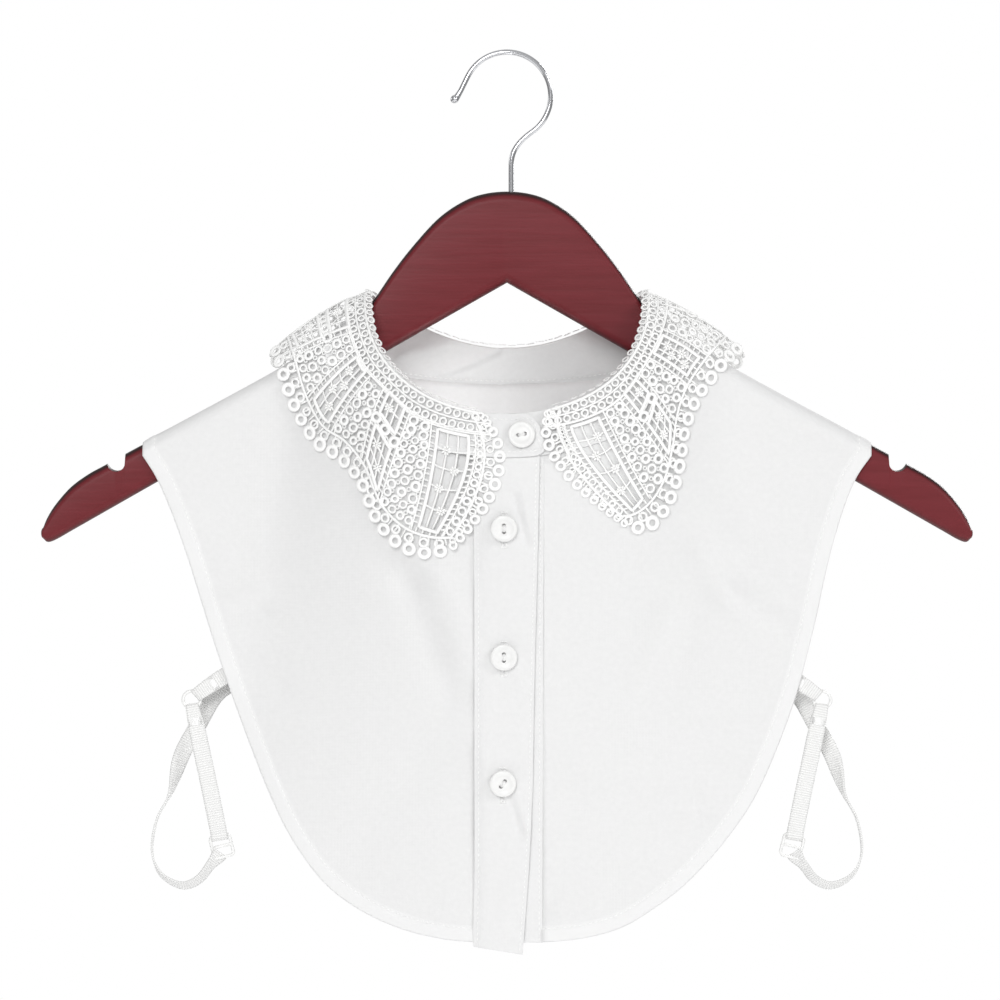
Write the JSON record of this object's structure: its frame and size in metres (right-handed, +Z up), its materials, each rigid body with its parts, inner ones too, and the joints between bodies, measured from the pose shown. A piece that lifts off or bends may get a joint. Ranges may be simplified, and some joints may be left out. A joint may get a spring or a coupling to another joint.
{
  "type": "lace collar dickey on a wooden hanger",
  "caption": "Sleeveless shirt bib with a stand and a wide openwork lace collar, buttoned at the front, elastic side straps, hung on a flat wooden hanger with a wire hook.",
  "frame": {"origin": "top of the inside of the hook, where a rail carries the hanger", "axes": "+Z up, -Y out of the front of the garment, +X to the right as seen from the front"},
  "size_m": [0.4404, 0.0889, 0.426],
  "materials": {
    "lawn": "white plain-weave cotton, pressed, matte",
    "lace": "white guipure lace, matte embroidery thread",
    "button": "white polyester, polished",
    "elastic": "white ribbed elastic, slight sheen",
    "coated_metal": "white nylon-coated wire, smooth",
    "mahogany": "mahogany stain under satin lacquer",
    "steel": "bright chromed steel wire"
  },
  "bodies": {
    "root": {"front_left": "lawn", "front_right": "lawn", "back": "lawn", "placket_top": "lawn", "placket_under": "lawn", "collar_stand": "lawn", "lace_left": "lace", "lace_right": "lace", "button_stand": "button", "button_1": "button", "button_2": "button", "button_3": "button", "tab_left": "elastic", "tab_right": "elastic", "strap_left": "elastic", "strap_right": "elastic", "loop_left": "elastic", "loop_right": "elastic", "ring_left": "coated_metal", "ring_right": "coated_metal", "slider_left": "coated_metal", "slider_right": "coated_metal", "hanger": "mahogany", "hook": "steel"}
  },
  "joints": []
}
